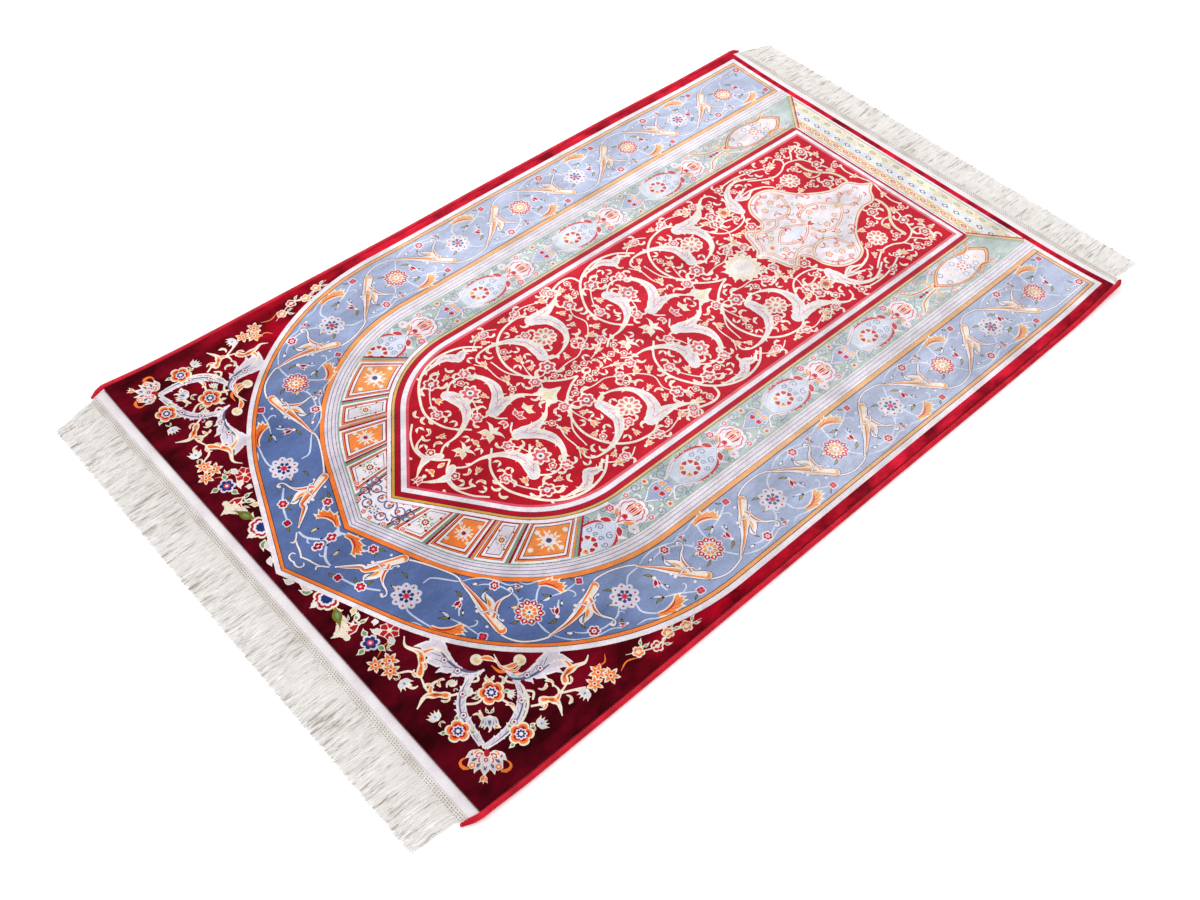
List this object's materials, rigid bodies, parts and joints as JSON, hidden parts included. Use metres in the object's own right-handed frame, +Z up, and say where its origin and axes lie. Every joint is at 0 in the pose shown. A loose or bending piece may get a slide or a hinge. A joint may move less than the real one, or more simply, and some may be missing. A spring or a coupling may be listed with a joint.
{
  "type": "prayer rug",
  "caption": "Flat short-pile prayer rug with overcast sides and a knotted fringe sewn along both ends.",
  "frame": {"origin": "under the middle of the rug, on the surface that it lies on", "axes": "+Y along the rug, from the arched near end to the far end; +X across it; +Z up, out of the pile"},
  "size_m": [0.7006, 1.202, 0.0113],
  "materials": {
    "silk_pile": "short silky pile, patterned in red, blue, cream and orange",
    "binding_yarn": "red yarn, overcast side by side",
    "fringe_yarn": "matt cream cotton, woven tape, knotted band and loose strands"
  },
  "bodies": {
    "root": {"rug_pile": "silk_pile", "side_binding_left": "binding_yarn", "side_binding_right": "binding_yarn", "fringe_near": "fringe_yarn", "fringe_far": "fringe_yarn"}
  },
  "joints": []
}
